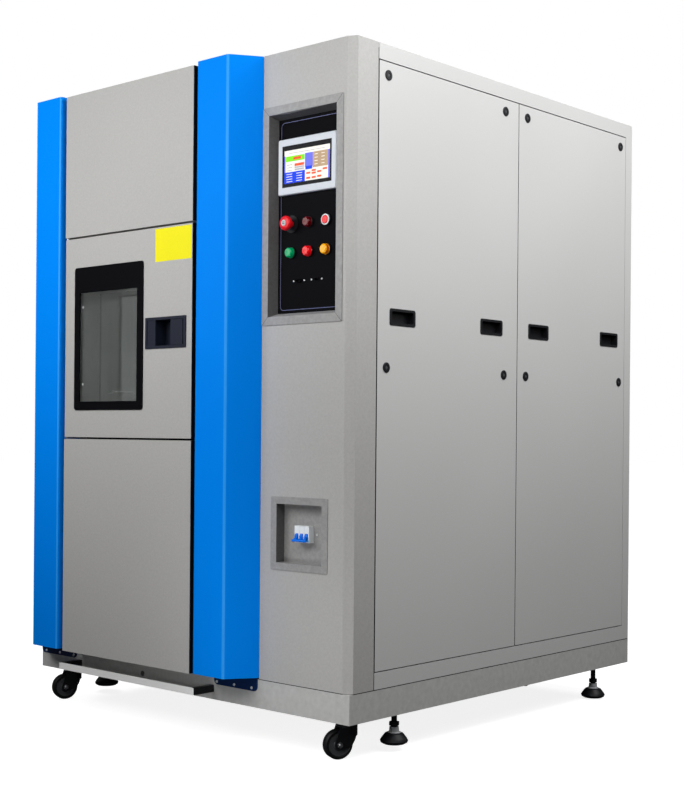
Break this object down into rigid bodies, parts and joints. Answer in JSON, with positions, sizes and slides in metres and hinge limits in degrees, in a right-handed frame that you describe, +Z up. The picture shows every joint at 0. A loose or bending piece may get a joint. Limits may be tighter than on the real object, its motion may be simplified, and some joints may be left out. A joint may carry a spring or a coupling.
{
  "type": "three-zone thermal shock test chamber",
  "caption": "Free-standing climatic test chamber with a windowed door, hot and cold zones behind dampers, a recessed control column, casters and level feet.",
  "frame": {"origin": "on the floor, under the middle of the whole machine's box, levelled with every wheel on the floor", "axes": "+Z up, the front faces -Y, the control column is on the +X side"},
  "size_m": [1.342, 1.5, 1.914],
  "materials": {
    "grey_coat": "fine textured powder coat",
    "side_coat": "smooth powder coat",
    "blue_coat": "satin paint",
    "dark_coat": "matt",
    "frame_steel": "satin",
    "stainless": "brushed",
    "bright_bar": "satin",
    "black_plastic": "matt",
    "pale_plastic": "satin",
    "white_plastic": "satin",
    "blue_plastic": "gloss",
    "red_plastic": "gloss",
    "lamp_lens": "gloss",
    "display_glass": "gloss",
    "window_glass": "gloss",
    "seal_rubber": "matt",
    "insulation": "matt",
    "steel": "zinc plated",
    "wheel_rubber": "matt",
    "copper": "satin"
  },
  "bodies": {
    "cabinet": {"base_frame": "grey_coat", "breaker_body": "white_plastic", "breaker_recess": "dark_coat", "cabinet_frame": "side_coat", "caster_plates": "steel", "chamber_liner": "stainless", "control_bezel": "dark_coat", "control_fascia": "grey_coat", "control_plate": "dark_coat", "data_ports": "steel", "door_hardware": "steel", "electrical_plate": "frame_steel", "evaporator": "copper", "fan_motors": "dark_coat", "front_frame": "dark_coat", "heater_bank": "stainless", "insulated_body": "insulation", "left_pillar": "blue_coat", "lower_front_panel": "grey_coat", "panel_locks": "black_plastic", "panel_pulls": "black_plastic", "rear_fittings": "steel", "rear_panels": "side_coat", "refrigeration_plant": "dark_coat", "right_pillar": "blue_coat", "screen_glass": "display_glass", "screen_housing": "pale_plastic", "side_panels": "side_coat", "signal_lamps": "lamp_lens", "specimen_shelf": "stainless", "step_bar": "bright_bar", "top_cover": "side_coat", "upper_front_panel": "grey_coat"},
    "door": {"door_shell": "grey_coat", "door_liner": "stainless", "window_frame": "grey_coat", "window_panes": "window_glass", "door_gasket": "seal_rubber", "latch_housing": "black_plastic"},
    "latch_paddle": {"latch_paddle": "black_plastic"},
    "latch_bolt": {"latch_bolt": "steel"},
    "estop_button": {"estop_button": "red_plastic"},
    "power_button": {"power_button": "red_plastic"},
    "breaker_toggle": {"breaker_toggle": "blue_plastic"},
    "hot_fan": {"hot_fan": "stainless"},
    "cold_fan": {"cold_fan": "stainless"},
    "hot_damper": {"hot_damper": "stainless"},
    "cold_damper": {"cold_damper": "stainless"},
    "caster_fork_front_left": {"caster_fork_front_left": "steel"},
    "caster_wheel_front_left": {"caster_wheel_front_left": "wheel_rubber"},
    "level_foot_front_left": {"level_foot_front_left": "black_plastic"},
    "caster_fork_front_right": {"caster_fork_front_right": "steel"},
    "caster_wheel_front_right": {"caster_wheel_front_right": "wheel_rubber"},
    "level_foot_front_right": {"level_foot_front_right": "black_plastic"},
    "caster_fork_rear_left": {"caster_fork_rear_left": "steel"},
    "caster_wheel_rear_left": {"caster_wheel_rear_left": "wheel_rubber"},
    "level_foot_rear_left": {"level_foot_rear_left": "black_plastic"},
    "caster_fork_rear_right": {"caster_fork_rear_right": "steel"},
    "caster_wheel_rear_right": {"caster_wheel_rear_right": "wheel_rubber"},
    "level_foot_rear_right": {"level_foot_rear_right": "black_plastic"}
  },
  "joints": [
    {"name": "door_hinge", "type": "hinge", "parent": "cabinet", "child": "door", "pos_m": [-0.456, -0.734, 1.158], "axis": [0, 0, -1], "range_deg": [0, 95]},
    {"name": "paddle_hinge", "type": "hinge", "parent": "door", "child": "latch_paddle", "pos_m": [0.09, -0.737, 1.1575], "axis": [0, 0, 1], "range_deg": [0, 30], "stiffness_Nm_per_rad": 1},
    {"name": "bolt_slide", "type": "slide", "parent": "door", "child": "latch_bolt", "axis": [-1, 0, 0], "range_m": [0, 0.012]},
    {"name": "estop_press", "type": "slide", "parent": "cabinet", "child": "estop_button", "axis": [0, 1, 0], "range_m": [0, 0.005], "stiffness_N_per_m": 400},
    {"name": "power_press", "type": "slide", "parent": "cabinet", "child": "power_button", "axis": [0, 1, 0], "range_m": [0, 0.003], "stiffness_N_per_m": 400},
    {"name": "breaker_throw", "type": "hinge", "parent": "cabinet", "child": "breaker_toggle", "pos_m": [0.481, -0.651, 0.59], "axis": [-1, 0, 0], "range_deg": [0, 76]},
    {"name": "hot_fan_spin", "type": "hinge", "parent": "cabinet", "child": "hot_fan", "pos_m": [-0.168, -0.13, 1.661], "axis": [0, 1, 0], "continuous": true},
    {"name": "cold_fan_spin", "type": "hinge", "parent": "cabinet", "child": "cold_fan", "pos_m": [-0.168, -0.13, 0.541], "axis": [0, 1, 0], "continuous": true},
    {"name": "hot_damper_hinge", "type": "hinge", "parent": "cabinet", "child": "hot_damper", "pos_m": [-0.168, -0.476, 1.51], "axis": [1, 0, 0], "range_deg": [0, 88]},
    {"name": "cold_damper_hinge", "type": "hinge", "parent": "cabinet", "child": "cold_damper", "pos_m": [-0.168, -0.476, 0.762], "axis": [-1, 0, 0], "range_deg": [0, 88]},
    {"name": "caster_swivel_front_left", "type": "hinge", "parent": "cabinet", "child": "caster_fork_front_left", "pos_m": [-0.599, -0.5975, 0.09], "axis": [0, 0, 1], "continuous": true},
    {"name": "caster_roll_front_left", "type": "hinge", "parent": "caster_fork_front_left", "child": "caster_wheel_front_left", "pos_m": [-0.60853, -0.62169, 0.04], "axis": [0.9304, -0.3665, 0], "continuous": true},
    {"name": "caster_swivel_front_right", "type": "hinge", "parent": "cabinet", "child": "caster_fork_front_right", "pos_m": [0.599, -0.5975, 0.09], "axis": [0, 0, 1], "continuous": true},
    {"name": "caster_roll_front_right", "type": "hinge", "parent": "caster_fork_front_right", "child": "caster_wheel_front_right", "pos_m": [0.58744, -0.62079, 0.04], "axis": [0.8957, -0.4446, 0], "continuous": true},
    {"name": "caster_swivel_rear_left", "type": "hinge", "parent": "cabinet", "child": "caster_fork_rear_left", "pos_m": [-0.323, 0.64, 0.09], "axis": [0, 0, 1], "continuous": true},
    {"name": "caster_roll_rear_left", "type": "hinge", "parent": "caster_fork_rear_left", "child": "caster_wheel_rear_left", "pos_m": [-0.31411, 0.61557, 0.04], "axis": [0.9397, 0.342, 0], "continuous": true},
    {"name": "caster_swivel_rear_right", "type": "hinge", "parent": "cabinet", "child": "caster_fork_rear_right", "pos_m": [0.323, 0.64, 0.09], "axis": [0, 0, 1], "continuous": true},
    {"name": "caster_roll_rear_right", "type": "hinge", "parent": "caster_fork_rear_right", "child": "caster_wheel_rear_right", "pos_m": [0.33791, 0.6187, 0.04], "axis": [0.8192, 0.5736, 0], "continuous": true},
    {"name": "foot_screw_front_left", "type": "slide", "parent": "cabinet", "child": "level_foot_front_left", "axis": [0, 0, 1], "range_m": [-0.03, 0.01]},
    {"name": "foot_screw_front_right", "type": "slide", "parent": "cabinet", "child": "level_foot_front_right", "axis": [0, 0, 1], "range_m": [-0.03, 0.01]},
    {"name": "foot_screw_rear_left", "type": "slide", "parent": "cabinet", "child": "level_foot_rear_left", "axis": [0, 0, 1], "range_m": [-0.03, 0.01]},
    {"name": "foot_screw_rear_right", "type": "slide", "parent": "cabinet", "child": "level_foot_rear_right", "axis": [0, 0, 1], "range_m": [-0.03, 0.01]}
  ],
  "couplings": [
    {"joint": "bolt_slide", "follows": "paddle_hinge", "m_per_rad": 0.0225}
  ]
}
